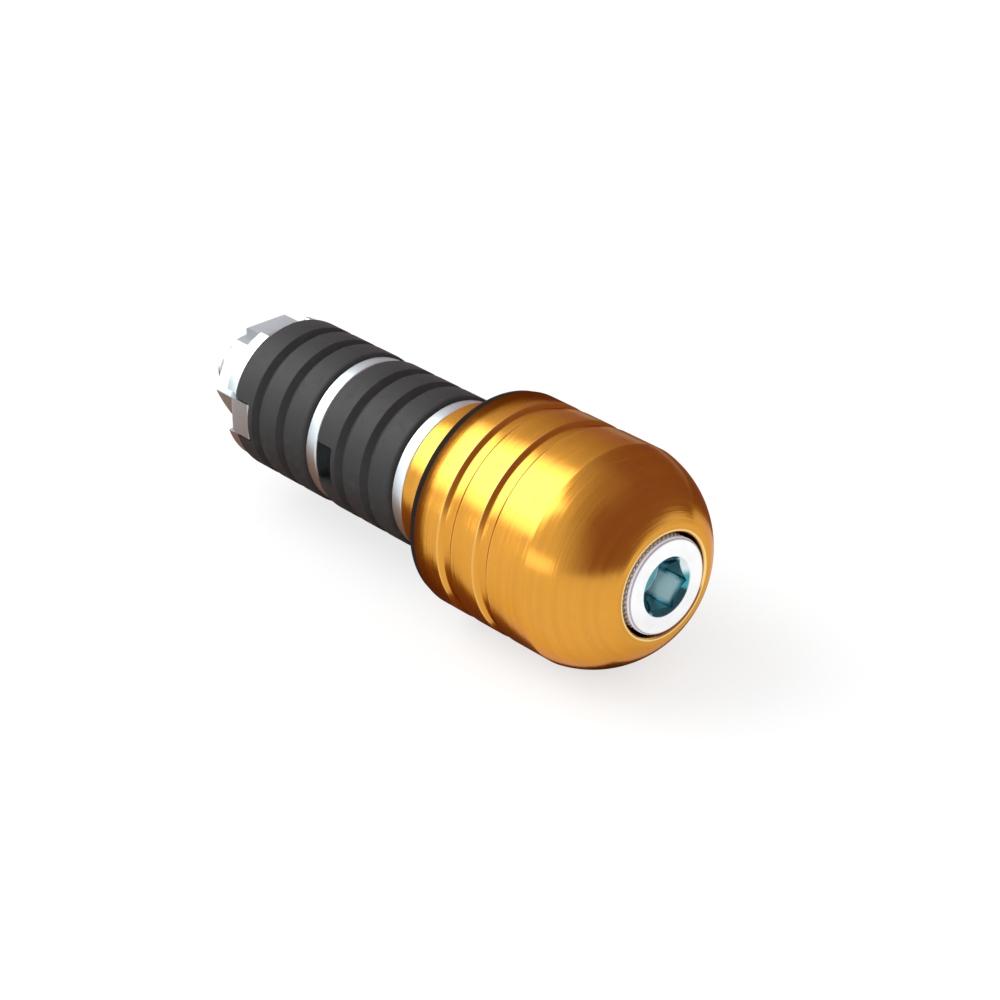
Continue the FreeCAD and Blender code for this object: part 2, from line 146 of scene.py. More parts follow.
class WeightSizes(bpy.types.PropertyGroup):
    """What the turned weight is cut to."""

    rear_land: length("Rear land", 3.45, "Length of the land next to the seat")
    mid_land: length("Middle land", 3.1, "Length of the land between the grooves")
    groove_width: length("Groove width", 2.0, "Width of each turned groove at its mouth")
    groove_depth: length("Groove depth", 0.42, "Depth of each turned groove")
    groove_root: length("Groove root", 0.25, "Radius between a groove's floor and its slanted walls")
    groove_edge: length("Groove edge", 0.15, "Radius that rounds the edges of a groove")
    nose_length: length("Nose length", 7.55, "Length of the domed nose along the axis")
    nose_arc: length("Nose arc", 10.9, "Radius of the arc that the nose is turned to")
    nose_rim: length("Nose rim", 6.2, "Radius at which the arc would meet the front face")
    rim_round: length("Rim round", 0.4, "Radius between the arc and the front face")
    counterbore: length("Counterbore", 5.4, "Radius of the counterbore for the screw's head")
    lip_chamfer: length("Lip chamfer", 0.15, "Chamfer at the mouth of the counterbore")
    bore: length("Bore", 3.3, "Radius of the hole for the screw")
    relief: length("Relief", 8.0, "Radius of the undercut between seat and spigot")
    spigot_chamfer: length("Spigot chamfer", 0.5, "Chamfer at the spigot's inner end")
    edge_break: length("Edge break", 0.12, "Chamfer that takes off the sharp edges")
    facets: count("Facets", 256, "Steps that the section is spun in")
    gold: colour("Gold", (0.72, 0.325, 0.034), "Colour of the anodised skin")
    cloud: colour("Cloud", (0.685, 0.29, 0.028), "Colour of the faint clouds in the skin")
    grazing_gold: colour("Grazing gold", (0.80, 0.48, 0.18), "Colour of the skin where it is seen edge on")
    # The lip's colour: partly thinner skin, partly a painted highlight
    lip_wear_and_highlight: colour("Lip", (0.93, 0.70, 0.28), "Colour of the skin round the lip, where it is thinnest")
    edge_gold: colour("Worn edge", (0.86, 0.56, 0.17), "Colour of the skin where an edge has thinned it")
    mark_spread: share("Mark spread", 0.26, "How far the turning marks spread a reflection across them")
    sheen_roughness: share("Roughness", 0.20, "Roughness of the anodised skin")
    clear_skin: share("Clear skin", 0.35, "Weight of the clear oxide that gives pale highlights")


class ScrewSizes(bpy.types.PropertyGroup):
    """What the socket head cap screw is made to."""

    shank: length("Shank", 3.0, "Radius of the plain shank")
    crest: length("Thread crest", 2.94, "Outer radius of the thread")
    root: length("Thread root", 2.39, "Inner radius of the thread")
    pitch: length("Pitch", 1.0, "Advance of the thread in one turn")
    thread_length: length("Thread length", 24.0, "Length of the thread from the screw's tip")
    tip_chamfer: length("Tip chamfer", 0.55, "Chamfer on the screw's tip")
    head_round: length("Head round", 0.35, "Radius round the head's face")
    socket_flats: length("Socket", 5.0, "Width of the hexagon socket across its flats")
    socket_depth: length("Socket depth", 3.6, "Depth of the hexagon socket")
    socket_mouth: length("Socket mouth", 3.1, "Radius of the countersink round the socket")
    knurl_depth: length("Knurl depth", 0.09, "Depth of the diamond knurl on the head's side")
    knurl_points: count("Knurl points", 56, "Points of the knurl round the head")
    knurl_rows: count("Knurl rows", 20, "Rows of points along the head")
    zinc: colour("Zinc", (0.975, 0.98, 0.985), "Colour of the zinc plating")
    knurl_point: colour("Knurl point", (0.96, 0.94, 1.0), "Colour of the plating on the knurl's points")
    # Painted shade in the knurl's hollows
    knurl_hollow_shade: colour("Knurl hollow", (0.42, 0.40, 0.46), "Colour of the plating in the knurl's hollows")
    # The socket's deep blue: partly the passivation's tint, partly painted shade in the recess
    socket_tint_and_shade: colour("Socket tint", (0.19, 0.47, 0.54), "Colour of the passivated plating in the socket")
    # Painted highlight on two opposite walls of the socket
    socket_wall_highlight: colour("Palest wall", (0.80, 0.97, 1.0), "Colour of the two walls with the thinnest film")
    # The countersink: painted shade on one side, painted highlight on the light side
    mouth_shade: colour("Mouth's dark side", (0.06, 0.33, 0.38), "Deepest tint of the countersink")
    mouth_highlight: colour("Mouth's light side", (0.76, 0.85, 0.88), "Palest tint of the countersink")
    # The socket's floor: painted highlight in the middle, painted shade round its rim
    floor_highlight: colour("Floor's middle", (0.82, 0.96, 0.98), "Colour of the middle of the socket's floor")
    floor_shade: colour("Floor's rim", (0.10, 0.30, 0.34), "Colour of the rim of the socket's floor")


class FixingSizes(bpy.types.PropertyGroup):
    """What the washers, the bushes and the nut are made to."""

    washer_bore: length("Washer bore", 3.2, "Radius of the hole in the plate washers")
    seat_bore: length("Seat washer bore", 8.6, "Radius of the hole in the seat washer")
    die_roll: length("Die roll", 0.22, "Radius that the punch draws round a washer's front edge")
    bush_bore: length("Bush bore", 3.3, "Radius of the hole in the bushes")
    bush_round: length("Bush round", 0.7, "Radius round the ends of a bush")
    bush_groove: length("Bush groove", 0.7, "Depth, and half width, of the grooves round a bush")
    slot_floor: length("Slot floor", 6.0, "Distance of a bush's slots from its axis")
    slot_width: length("Slot width", 4.4, "Width of a bush's slots")
    slot_depth: length("Slot depth", 2.7, "Depth of a bush's slots from its inner end")
    mould_line: length("Mould line", 0.05, "Height of the line where the mould's halves met")
    bend_radius: length("Bend radius", 0.3, "Radius inside the bends of the tab washer")
    bend_relief: length("Bend relief", 0.4, "Gap beside each strip that is bent out of the tab washer")
    lug_width: length("Lug width", 4.0, "Width of the lugs bent forward")
    tab_width: length("Tab width", 5.0, "Width of the tabs bent back")
    nut_flats: length("Nut", 10.0, "Width of the nut across its flats")
    nut_face: length("Nut face", 4.7, "Radius of the nut's chamfered face")
    nut_chamfer: length("Nut bore chamfer", 0.4, "Chamfer at each end of the nut's thread")
    facets: count("Facets", 192, "Steps that the sections are spun in")
    hardware: colour("Hardware", (0.66, 0.74, 0.78), "Colour of the plating on the washers and the nut")
    rubber: colour("Rubber", (0.018, 0.018, 0.019), "Colour of the bushes")
    nylon: colour("Nylon", (0.012, 0.012, 0.013), "Colour of the seat washer")
    steel: colour("Spring steel", (0.20, 0.20, 0.21), "Colour of the phosphated lock washer")


class StudioSizes(bpy.types.PropertyGroup):
    """The floor, the light and the camera."""

    floor: colour("Floor", (0.96, 0.96, 0.96), "Colour of the floor")
    softbox: share("Softbox", 2.1, "Brightness of the large soft lamp, where 1 is white", 10.0)
    core: share("Softbox's core", 2.2, "What the softbox's middle adds to its brightness", 10.0)
    fill: share("Fill", 1.15, "Brightness of the low lamp, where 1 is white", 10.0)
    surroundings: share("Surroundings", 0.82, "Brightness of the room, where 1 is white", 10.0)
    shade: colour("Shade", (0.30, 0.165, 0.175), "Colour of the dark dome that the metal mirrors")
    mat: colour("Mat", (0.19, 0.078, 0.036), "Colour of the mat and the collar that darken the far edges")
    lens: FloatProperty(name="Lens", description="Focal length of the camera", default=108.0, unit="CAMERA")


class Wire:
    """A node's output that takes part in sums: each operator adds a Math node."""

    def __init__(self, network, output):
        self.network = network
        self.output = output

    def __add__(self, other):
        return self.network.sum("ADD", self, other)

    def __sub__(self, other):
        return self.network.sum("SUBTRACT", self, other)

    def __rsub__(self, other):
        return self.network.sum("SUBTRACT", other, self)

    def __mul__(self, other):
        return self.network.sum("MULTIPLY", self, other)

    def __truediv__(self, other):
        return self.network.sum("DIVIDE", self, other)

    __radd__ = __add__
    __rmul__ = __mul__


class Network:
    """A tree of nodes, built up node by node."""

    def __init__(self, tree):
        self.tree = tree
        self.tree.nodes.clear()

    def node(self, kind, values, output=0, **settings):
        """Any other node: its settings come first, then the values or links of its sockets."""
        node = self.tree.nodes.new(f"ShaderNode{kind}")
        for setting, value in settings.items():
            setattr(node, setting, value)
        for socket, value in values.items():
            self.feed(node.inputs[socket], value)
        return Wire(self, node.outputs[output]) if len(node.outputs) else None

    def feed(self, socket, value):
        """Gives a socket its value, or links it."""
        if isinstance(value, Wire):
            self.tree.links.new(value.output, socket)
        elif socket.type == "RGBA" and len(value) == 3:
            socket.default_value = (*value, 1)
        else:
            socket.default_value = value

    def sum(self, operation, first, second=0.0):
        """A sum on two numbers."""
        return self.node("Math", {0: first, 1: second}, operation=operation)

    def vector(self, operation, first, second=(0, 0, 0), output=0):
        """A sum on two vectors."""
        return self.node("VectorMath", {0: first, 1: second}, output, operation=operation)

    def scaled(self, vector, factor):
        """A vector made longer or shorter."""
        return self.node("VectorMath", {0: vector, "Scale": factor}, operation="SCALE")

    def joined(self, x, y, z):
        """A vector from its three parts."""
        return self.node("CombineXYZ", {0: x, 1: y, 2: z})

    def place(self):
        """The object's own coordinates in millimetres: the vector, then its three parts."""
        metres = self.node("TexCoord", {}, "Object")
        vector = self.scaled(metres, 1 / MM)
        parts = [self.node("SeparateXYZ", {0: vector}, axis) for axis in range(3)]
        return vector, *parts

    def noise(self, vector, scale, detail=2.0, roughness=0.5):
        """Smooth noise from 0 to 1."""
        values = {"Vector": vector, "Scale": scale, "Detail": detail, "Roughness": roughness}
        return self.node("TexNoise", values)

    def step(self, value, low, high):
        """Rises smoothly from 0 to 1 as the value goes from low to high, or falls where low is the larger."""
        rising = low < high
        ends = {1: min(low, high), 2: max(low, high), 3: 0.0 if rising else 1.0, 4: 1.0 if rising else 0.0}
        return self.node("MapRange", {0: value, **ends}, interpolation_type="SMOOTHSTEP")

    def band(self, value, middle, reach):
        """One at the middle, falling to nothing at reach on either side."""
        return self.step(self.sum("ABSOLUTE", value - middle), reach, 0.0)

    def towards(self, way, around, height=0.0):
        """How nearly a unit vector points in a direction, which is given in degrees."""
        return self.vector("DOT_PRODUCT", way, direction(around, height), output=1)

    def blend(self, factor, first, second):
        """A mix of two colours."""
        return self.node("Mix", {0: factor, 6: first, 7: second}, 2, data_type="RGBA")

    def bump(self, height, strength, distance, normal=None):
        """A normal bent by a height in the surface."""
        values = {"Height": height, "Strength": strength, "Distance": distance}
        if normal is not None:
            values["Normal"] = normal
        return self.node("Bump", values)

    def seen_or_mirrored(self):
        """One for what the camera sees, also by way of metal or glass, and nothing for what only lights."""
        seen, mirrored, through = (
            self.node("LightPath", {}, f"Is {kind} Ray") for kind in ("Camera", "Glossy", "Transmission")
        )
        return self.sum("MINIMUM", seen + mirrored + through, 1.0)


class Finish(Network):
    """A procedural material round one surface shader."""

    def __init__(self, name, **constants):
        self.material = bpy.data.materials.new(name)
        self.material.use_nodes = True
        super().__init__(self.material.node_tree)
        self.surface = self.tree.nodes.new("ShaderNodeBsdfPrincipled")
        self.end = self.tree.nodes.new("ShaderNodeOutputMaterial")
        self.tree.links.new(self.surface.outputs[0], self.end.inputs["Surface"])
        self.set(**constants)

    def set(self, **values):
        """Feeds the surface shader's own sockets."""
        for socket, value in values.items():
            self.feed(self.surface.inputs[socket.replace("_", " ")], value)

    def mix(self, factor, first, second):
        """Ends the material in a mix of two shaders."""
        self.feed(self.end.inputs["Surface"], self.node("MixShader", {0: factor, 1: first, 2: second}))


class RoundFinish(Finish):
    """The finish of a piece that is round about the screw's axis, with its place there in millimetres.

    The way out from the axis has two parts: side, towards +Y, and rise, towards +Z.
    """

    def __init__(self, name, **constants):
        super().__init__(name, **constants)
        self.at, self.x, y, z = self.place()
        self.radius = self.sum("SQRT", y * y + z * z)
        self.side = y / self.radius
        self.rise = z / self.radius

    def facing(self, way):
        """How nearly the way out from the axis is the one that is given."""
        return self.side * way[0] + self.rise * way[1]

    def rings(self, along, marks_per_mm, wander, detail=2.0):
        """Noise that is drawn out into rings round the axis."""
        drawn_out = self.joined(along * marks_per_mm, self.side * wander, self.rise * wander)
        return self.noise(drawn_out, 1.0, detail)


def across_marks(finish, tilt):
    """The surface's normal, tilted along the section: it spreads a reflection across the turning marks."""
    normal = finish.node("NewGeometry", {}, "Normal")
    around = finish.joined(0.0, finish.sum("MULTIPLY", finish.rise, -1.0), finish.side)
    section = finish.vector("NORMALIZE", finish.vector("CROSS_PRODUCT", around, normal))
    return finish.vector("NORMALIZE", finish.vector("ADD", normal, finish.scaled(section, tilt)))


def gold_finish(sizes):
    """Anodised aluminium with the fine marks of the lathe's tool, paler along its broken edges, with a pale
    ring round the lip that is partly thinner skin and partly a painted highlight.
    """
    finish = RoundFinish(
        "anodised_skin",
        Metallic=1.0,
        Specular_Tint=sizes.grazing_gold,
        Coat_Weight=sizes.clear_skin,
        Coat_Roughness=0.16,
    )
    along = finish.x - finish.radius
    hair = finish.rings(along, 55.0, 1.5)
    tool = finish.rings(along, 8.0, 0.8)
    passes = finish.rings(along, 1.3, 0.5)
    grain = finish.noise(finish.at, 9.0, detail=3.0)
    cloud = finish.noise(finish.at, 0.35)
    scratched = scratches(finish)
    worn, lip = edge_wear(finish, sizes)
    tone = finish.blend(finish.step(passes, 0.3, 0.7), [part * 0.93 for part in sizes.gold], sizes.gold)
    tone = finish.blend(finish.step(cloud, 0.35, 0.75) * 0.35, tone, sizes.cloud)
    tone = finish.blend(worn * 0.45, tone, sizes.edge_gold)
    # The lip's pale ring: thinner skin there, and a painted highlight
    tone = finish.blend(lip, tone, sizes.lip_wear_and_highlight)
    tone = finish.blend(scratched * 0.35, tone, sizes.edge_gold)
    roughness = (tool - 0.5) * 0.16 + (grain - 0.5) * 0.06 + sizes.sheen_roughness
    roughness = roughness + scratched * 0.12 + (passes - 0.5) * 0.10
    height = grain * 0.25 + tool * 0.5 - scratched * 0.8
    normal = across_marks(finish, (hair - 0.5) * sizes.mark_spread + (tool - 0.5) * 0.14)
    finish.set(Base_Color=tone, Roughness=roughness)
    finish.set(Normal=finish.bump(height, 0.25, 0.004 * MM, normal))
    return finish.material


def edge_wear(finish, sizes):
    """Where the skin has thinned: along the broken edges of the lands, and round the lip, where the pale ring
    is also a painted highlight.
    """
    mm = Millimetres(sizes)
    rear, front, outside = span("weight_body")
    seat = span("seat_washer")[1]
    first = seat + mm.rear_land
    second = first + mm.groove_width + mm.mid_land
    on_lands = finish.step(finish.radius, outside - 0.18, outside - 0.08)
    wear = finish.band(finish.x, rear, 0.25)
    for edge in (seat, first, first + mm.groove_width, second, second + mm.groove_width):
        wear = wear + finish.band(finish.x, edge, 0.2) * on_lands
    # Mask of the lip's ring, which carries thinner skin and a painted highlight
    inside = finish.step(finish.radius, mm.counterbore + 0.38, mm.counterbore + 0.22)
    lip = finish.step(finish.x, front - 0.14, front - 0.04) * inside
    return finish.sum("MINIMUM", wear, 1.0), lip


def scratches(finish):
    """Sparse hairline scratches, which lie two ways, each in patches of its own."""
    lines = None
    for turn, stretch, seed in ((0.5, (2.2, 0.10, 0.3), 3.0), (-0.8, (0.15, 1.9, 0.2), 11.0)):
        drawn_out = finish.node(
            "Mapping",
            {"Vector": finish.at, "Location": (seed, 0, 0), "Rotation": (turn, turn, 0.4), "Scale": stretch},
        )
        ridge = finish.sum("ABSOLUTE", finish.noise(drawn_out, 1.0, detail=1.0) - 0.5)
        elsewhere = finish.node("Mapping", {"Vector": finish.at, "Location": (0, seed, seed)})
        patch = finish.step(finish.noise(elsewhere, 0.22, detail=1.0), 0.58, 0.72)
        line = finish.step(ridge, 0.0045, 0.0) * patch * 0.7
        lines = line if lines is None else finish.sum("MAXIMUM", lines, line)
    return lines


def plating(finish, zinc):
    """Feeds the relief of zinc plating, and gives its tone and how far its roughness strays."""
    marks = finish.rings(finish.x - finish.radius, 7.0, 1.0)
    grain = finish.noise(finish.at, 7.0, detail=3.0)
    bloom = finish.noise(finish.at, 0.55, detail=3.0)
    tone = finish.blend(finish.step(bloom, 0.35, 0.7), zinc, [part * 0.94 for part in zinc])
    tone = finish.blend(finish.step(grain, 0.55, 0.8) * 0.3, tone, [part * 0.84 for part in zinc])
    finish.set(Normal=finish.bump(grain + marks * 0.6, 0.09, 0.006 * MM))
    return tone, (grain - 0.5) * 0.05 + (bloom - 0.5) * 0.10 + (marks - 0.5) * 0.04


def screw_finish(sizes):
    """Bright zinc plating, blue passivated, with painted shade in the knurl's hollows; in the socket a deep
    blue tint that is partly painted shade, painted highlights on two walls, the floor's middle and one side
    of the countersink, and painted shade on the floor's rim and the countersink's other side.

    Its roughness is even, so that the plain faces mirror cleanly. Heights are from under the head.
    """
    finish = RoundFinish("bright_zinc")
    under = span("lock_washer")[1]
    floor = span("clamp_screw")[1] - under - sizes.socket_depth / MM
    wall_top = floor + 3.1
    height = finish.x - under
    radius = finish.radius
    in_socket = finish.step(radius, 3.2, 3.0) * finish.step(height, 0.7, 0.9)
    # Painted highlight: two opposite walls of the socket, from its floor to below the mouth
    pale = finish.step(finish.sum("ABSOLUTE", finish.facing(HIGHLIT_WALLS)), 0.86, 0.94) * in_socket
    pale = pale * finish.step(height, wall_top, wall_top - 0.6)
    pale = pale * finish.step(height, floor - 0.05, floor + 0.05)
    # Countersink: painted highlight towards the light side, painted shade on the other
    lit = finish.step(finish.facing(LIGHT_SIDE), 0.60, 0.85)
    mouth_light_and_shade = finish.blend(lit, sizes.mouth_shade, sizes.mouth_highlight)
    # Socket floor: painted highlight in the middle, painted shade at the rim
    floor_light_and_shade = finish.blend(finish.step(radius, 1.5, 1.9), sizes.floor_highlight, sizes.floor_shade)
    tint = finish.blend(finish.step(height, wall_top + 0.10, wall_top - 0.08), mouth_light_and_shade, sizes.socket_tint_and_shade)
    tint = finish.blend(finish.step(height, floor + 0.02, floor - 0.05), tint, floor_light_and_shade)
    tone = plating(finish, sizes.zinc)[0]
    # Inside the socket: the deep tint with painted shade, and the painted highlight on two walls
    tone = finish.blend(in_socket, tone, finish.blend(pale, tint, sizes.socket_wall_highlight))
    knurled = finish.step(radius, 4.7, 4.85) * finish.step(height, 0.0, 0.4)
    tone = finish.blend(knurled * 0.8, tone, sizes.knurl_point)
    # Painted shade in the knurl's hollows, below the radius of its points
    tone = finish.blend(finish.step(radius, 4.93, 4.912) * knurled, tone, sizes.knurl_hollow_shade)
    sheen = 0.27 - in_socket * 0.16 + pale * 0.13 + knurled * 0.3
    finish.set(Base_Color=tone, Roughness=sheen, Metallic=1.0 - knurled * 0.8 - pale * 0.6)
    return finish.material


def hardware_finish(sizes):
    """The duller zinc plating, made once, that the plate washers, the tab washer and the nut share."""
    made = bpy.data.materials.get("dull_zinc")
    if made:
        return made
    finish = RoundFinish("dull_zinc", Metallic=1.0)
    tone, stray = plating(finish, sizes.hardware)
    finish.set(Base_Color=tone, Roughness=stray + 0.35)
    return finish.material


def rubber_finish(sizes):
    """Moulded rubber: a fine matt grain, and a dusty bloom in patches."""
    finish = Finish("bush_rubber", Specular_IOR_Level=0.42)
    at = finish.place()[0]
    grain = finish.noise(at, 11.0, detail=3.0, roughness=0.6)
    mottle = finish.noise(at, 1.1, detail=4.0, roughness=0.6)
    dust = finish.step(mottle, 0.48, 0.72)
    tone = finish.blend(dust * 0.5, sizes.rubber, (0.036, 0.035, 0.034))
    tone = finish.blend(finish.step(grain, 0.5, 0.8) * 0.35, tone, (0.030, 0.030, 0.031))
    finish.set(Base_Color=tone, Roughness=(grain - 0.5) * 0.2 + dust * 0.12 + 0.60)
    finish.set(Normal=finish.bump(grain + mottle * 0.5, 0.5, 0.02 * MM))
    return finish.material


def nylon_finish(sizes):
    """Black nylon with a soft gloss and faint flow marks."""
    finish = RoundFinish("seat_nylon", Specular_IOR_Level=0.15)
    flow = finish.rings(finish.radius, 3.0, 2.0, detail=3.0)
    grain = finish.noise(finish.at, 9.0)
    tone = finish.blend(finish.step(flow, 0.4, 0.75) * 0.5, sizes.nylon, (0.024, 0.024, 0.026))
    finish.set(Base_Color=tone, Roughness=(flow - 0.5) * 0.2 + (grain - 0.5) * 0.1 + 0.42)
    finish.set(Normal=finish.bump(grain + flow, 0.3, 0.01 * MM))
    return finish.material


def steel_finish(sizes):
    """Phosphated spring steel: dark grey, crystalline and slightly blotched."""
    finish = Finish("phosphated_steel", Metallic=0.85)
    at = finish.place()[0]
    crystal = finish.noise(at, 16.0, detail=4.0, roughness=0.65)
    blotch = finish.noise(at, 1.4, detail=3.0)
    tone = finish.blend(finish.step(crystal, 0.45, 0.7) * 0.6, sizes.steel, (0.32, 0.32, 0.33))
    tone = finish.blend(finish.step(blotch, 0.5, 0.75) * 0.4, tone, (0.13, 0.13, 0.14))
    finish.set(Base_Color=tone, Roughness=(crystal - 0.5) * 0.25 + 0.52)
    finish.set(Normal=finish.bump(crystal, 0.5, 0.01 * MM))
    return finish.material


def shut():
    """Ends the editing of the open piece, and gives the piece back."""
    bpy.ops.object.mode_set(mode="OBJECT")
    return bpy.context.object


def deselect():
    """Leaves nothing selected, and no mesh open for editing."""
    if bpy.context.object and bpy.context.object.mode != "OBJECT":
        shut()
    bpy.ops.object.select_all(action="DESELECT")


def choose(piece):
    """Selects one piece alone, and makes it the one that the operators act on."""
    deselect()
    piece.select_set(True)
    bpy.context.view_layer.objects.active = piece


def edit(piece, kind="VERT"):
    """Opens a piece for editing, with nothing in it selected."""
    choose(piece)
    bpy.ops.object.mode_set(mode="EDIT")
    bpy.ops.mesh.select_mode(type=kind)
    bpy.ops.mesh.select_all(action="DESELECT")


def weld():
    """Makes one point of those in the open mesh that lie together, and leaves all of it selected."""
    bpy.ops.mesh.select_all(action="SELECT")
    bpy.ops.mesh.remove_doubles(threshold=WELD)


def pick(piece, kind, test):
    """Selects what passes the test, and leaves the mesh open.

    The test gets the place of a vertex or a face, and the two ends of an edge.
    """
    edit(piece, kind)
    shut()
    mesh = piece.data
    parts, place = {
        "VERT": (mesh.vertices, lambda vertex: vertex.co),
        "EDGE": (mesh.edges, lambda edge: [mesh.vertices[index].co for index in edge.vertices]),
        "FACE": (mesh.polygons, lambda face: face.center),
    }[kind]
    for part in parts:
        part.select = test(place(part))
    bpy.ops.object.mode_set(mode="EDIT")


def move_points(piece, send):
    """Sends every vertex of a piece to a new place."""
    for vertex in piece.data.vertices:
        vertex.co = send(vertex.co)


def arc(centre, radius, start, end, steps):
    """Points of an arc in the section's plane, both ends included; angles are from the axis."""
    turns = [start + (end - start) * index / steps for index in range(steps + 1)]
    return [(centre[0] + radius * math.cos(turn), centre[1] + radius * math.sin(turn)) for turn in turns]


def rounded(corners, steps=5):
    """A section's points: a corner may name a radius, which turns it into an arc."""
    points = []
    for index, corner in enumerate(corners):
        if len(corner) == 2:
            points.append(corner)
            continue
        here = Vector(corner[:2])
        before = (Vector(corners[index - 1][:2]) - here).normalized()
        after = (Vector(corners[(index + 1) % len(corners)][:2]) - here).normalized()
        half = before.angle(after) / 2
        reach = corner[2] / math.tan(half)
        centre = here + (before + after).normalized() * corner[2] / math.sin(half)
        first = here + before * reach - centre
        last = here + after * reach - centre
        start = math.atan2(first.y, first.x)
        swing = (math.atan2(last.y, last.x) - start + math.pi) % FULL_TURN - math.pi
        points += arc(centre, corner[2], start, start + swing, steps)
    return points


def draw_section(points, closed=True):
    """A chain of edges through points, each a place along the axis and a radius, left open for editing."""
    deselect()
    bpy.ops.mesh.primitive_plane_add(size=MM, location=(0, 0, 0))
    piece = bpy.context.object
    bpy.ops.object.mode_set(mode="EDIT")
    bpy.ops.mesh.select_mode(type="VERT")
    bpy.ops.mesh.select_all(action="SELECT")
    bpy.ops.mesh.merge(type="CENTER")
    bpy.ops.transform.translate(value=(points[0][0] * MM, points[0][1] * MM, 0))
    ends = points[1:] + points[:1] if closed else points[1:]
    for before, after in zip(points, ends):
        move = ((after[0] - before[0]) * MM, (after[1] - before[1]) * MM, 0)
        bpy.ops.mesh.extrude_vertices_move(TRANSFORM_OT_translate={"value": move})
    weld()
    return piece


def close_mesh():
    """Welds what lies together, turns every face outwards and ends the editing."""
    weld()
    bpy.ops.mesh.dissolve_degenerate(threshold=WELD)
    bpy.ops.mesh.normals_make_consistent(inside=False)
    return shut()


def turned(points, facets):
    """A solid of revolution: its closed half section, spun about the screw's axis."""
    draw_section(points)
    bpy.ops.mesh.spin(steps=facets, angle=FULL_TURN, center=(0, 0, 0), axis=(1, 0, 0))
    return close_mesh()


def carve(piece, tool, operation):
    """Joins a piece with a tool body, cuts it away or keeps what they share, and drops the tool."""
    choose(piece)
    step = piece.modifiers.new("Carve", "BOOLEAN")
    step.operation = operation
    step.solver = "EXACT"
    step.object = tool
    bpy.ops.object.modifier_apply(modifier=step.name)
    bpy.data.objects.remove(tool)


def prism(flats, start, end, turn=0.0, corner=0.0):
    """A hexagonal bar along the axis, with its long edges rounded where a corner radius is given."""
    deselect()
    bpy.ops.mesh.primitive_cylinder_add(
        vertices=6,
        radius=flats / math.sqrt(3) * MM,
        depth=(end - start) * MM,
        location=((start + end) / 2 * MM, 0, 0),
        rotation=(0, math.pi / 2, 0),
    )
    piece = bpy.context.object
    bpy.ops.object.transform_apply(location=True, rotation=True, scale=True)
    edit(piece, "EDGE")
    bpy.ops.mesh.select_all(action="SELECT")
    bpy.ops.mesh.normals_make_consistent(inside=False)
    shut()
    cosine = math.cos(turn)
    sine = math.sin(turn)
    move_points(piece, lambda at: (at.x, at.y * cosine - at.z * sine, at.y * sine + at.z * cosine))
    if corner:
        pick(piece, "EDGE", lambda ends: abs(ends[0].x - ends[1].x) > MM)
        bpy.ops.mesh.bevel(offset=corner * MM, segments=3, affect="EDGES")
        shut()
    return piece


def dress(piece, name, finish, node):
    """Last touches: name, smooth faces, finish, and its place in the frame."""
    choose(piece)
    bpy.ops.object.shade_smooth_by_angle(angle=SMOOTH_ANGLE)
    piece.name = name
    piece.data.name = name
    piece.data.materials.clear()
    piece.data.materials.append(finish)
    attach(piece, "root")
    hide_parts(node)


def weight_section(sizes):
    """Half section of the turned weight, from the spigot's bore round the outside to the counterbore."""
    mm = Millimetres(sizes)
    rear, front, radius = span("weight_body")
    seat = span("seat_washer")[1]
    floor = span("lock_washer")[0]
    spigot = mm.relief + RELIEF_DEPTH
    corners = [
        (rear + BORE_BREAK, mm.bore),
        (rear, mm.bore + BORE_BREAK),
        (rear, spigot - mm.spigot_chamfer, 0.1),
        (rear + mm.spigot_chamfer, spigot, 0.15),
        (0.0, spigot, 0.06),
        (0.0, mm.relief, 0.1),
        (seat, mm.relief, 0.15),
        (seat, radius - mm.edge_break),
        (seat + mm.edge_break, radius),
    ]
    first = seat + mm.rear_land
    floor_radius = radius - mm.groove_depth
    for place in (first, first + (mm.groove_width + mm.mid_land)):
        corners += [
            (place, radius, mm.groove_edge),
            (place + mm.groove_depth, floor_radius, mm.groove_root),
            (place + mm.groove_width - mm.groove_depth, floor_radius, mm.groove_root),
            (place + mm.groove_width, radius, mm.groove_edge),
        ]
    nose = nose_points(mm, front, radius)
    points = rounded([*corners, nose[0]], 6) + nose[1:]
    return points + rounded([
        (front, mm.counterbore + mm.lip_chamfer),
        (front - mm.lip_chamfer, mm.counterbore),
        (floor, mm.counterbore, 0.2),
        (floor, mm.bore + 0.2),
        (floor - 0.2, mm.bore),
    ])


def nose_points(mm, front, radius):
    """The dome: one arc from the last land to the rim, and the round between that arc and the front face."""
    start = Vector((front - mm.nose_length, radius))
    end = Vector((front, mm.nose_rim))
    half = (end - start) / 2
    inwards = Vector((half.y, -half.x)).normalized()
    centre = start + half + inwards * math.sqrt(mm.nose_arc**2 - half.length**2)
    round_x = front - mm.rim_round
    reach = mm.nose_arc - mm.rim_round
    round_centre = (round_x, centre.y + math.sqrt(reach**2 - (round_x - centre.x) ** 2))
    meeting = math.atan2(round_centre[1] - centre.y, round_centre[0] - centre.x)
    first = math.atan2(start.y - centre.y, start.x - centre.x)
    dome = arc(centre, mm.nose_arc, first, meeting, 48)
    return dome + arc(round_centre, mm.rim_round, meeting, 0.0, 6)[1:]


class WEIGHT_OT_turn(bpy.types.Operator):
    """Turns the weight from bar, with its grooves, domed nose, counterbore and spigot."""

    bl_idname = "bar_end.turn_weight"
    bl_label = "Turn the weight"

    def execute(self, context):
        sizes = context.scene.weight_sizes
        piece = turned(weight_section(sizes), sizes.facets)
        dress(piece, "turned_weight", gold_finish(sizes), "weight_body")
        nose_start = span("weight_body")[1] * MM - sizes.nose_length
        pick(piece, "EDGE", lambda ends: all(abs(end.x - nose_start) < WELD for end in ends))
        bpy.ops.mesh.mark_sharp()
        deselect()
        return {"FINISHED"}


